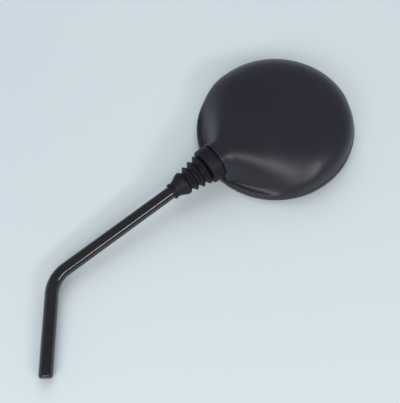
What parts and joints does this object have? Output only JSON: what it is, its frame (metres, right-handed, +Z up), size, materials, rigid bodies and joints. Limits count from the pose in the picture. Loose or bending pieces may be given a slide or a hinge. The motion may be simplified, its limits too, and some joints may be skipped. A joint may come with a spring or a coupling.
{
  "type": "motorcycle mirror",
  "caption": "Round motorcycle mirror: convex glass in a domed plastic shell that tilts on a ball at the end of a bent round rod, under a rubber bellows boot.",
  "frame": {"origin": "axis of the stem's straight clamped leg, 1.5 mm above its rounded free end", "axes": "+Z up along the clamped leg, +X the way the arm leans, +Y out of the glass"},
  "size_m": [0.2397, 0.0353, 0.258],
  "materials": {
    "rod_paint": "gloss black enamel on steel",
    "bright_steel": "ground steel with a film of grease",
    "white_nylon": "natural nylon",
    "zinc_plate": "bright zinc plate",
    "shell_plastic": "satin moulded black plastic",
    "foam": "closed-cell foam",
    "mirror_glass": "silvered convex glass",
    "bezel_plastic": "satin moulded black plastic",
    "boot_rubber": "moulded black rubber"
  },
  "bodies": {
    "stem": {"stem": "rod_paint", "ball": "bright_steel", "ball_pin": "bright_steel"},
    "boot": {"boot": "boot_rubber"},
    "seats": {"front_seat": "white_nylon", "rear_cup": "white_nylon"},
    "head": {"disc_spring": "bright_steel", "retainer_plate": "zinc_plate", "screw_washers": "zinc_plate", "retainer_screws": "zinc_plate", "back_shell": "shell_plastic", "foam_ring": "foam", "mirror_glass": "mirror_glass", "bezel": "bezel_plastic"}
  },
  "joints": [
    {"name": "boot_swivel", "type": "hinge", "parent": "stem", "child": "boot", "pos_m": [0.13025, 0, 0.16313], "axis": [0.809, 0, 0.5878], "range_deg": [-180, 180]},
    {"name": "head_tilt", "type": "hinge", "parent": "boot", "child": "seats", "pos_m": [0.13025, 0, 0.16313], "axis": [0, 1, 0], "range_deg": [-15, 15], "deforming": ["boot"]},
    {"name": "head_turn", "type": "hinge", "parent": "seats", "child": "head", "pos_m": [0.13025, 0, 0.16313], "axis": [0.809, 0, 0.5878], "range_deg": [-180, 180]}
  ]
}
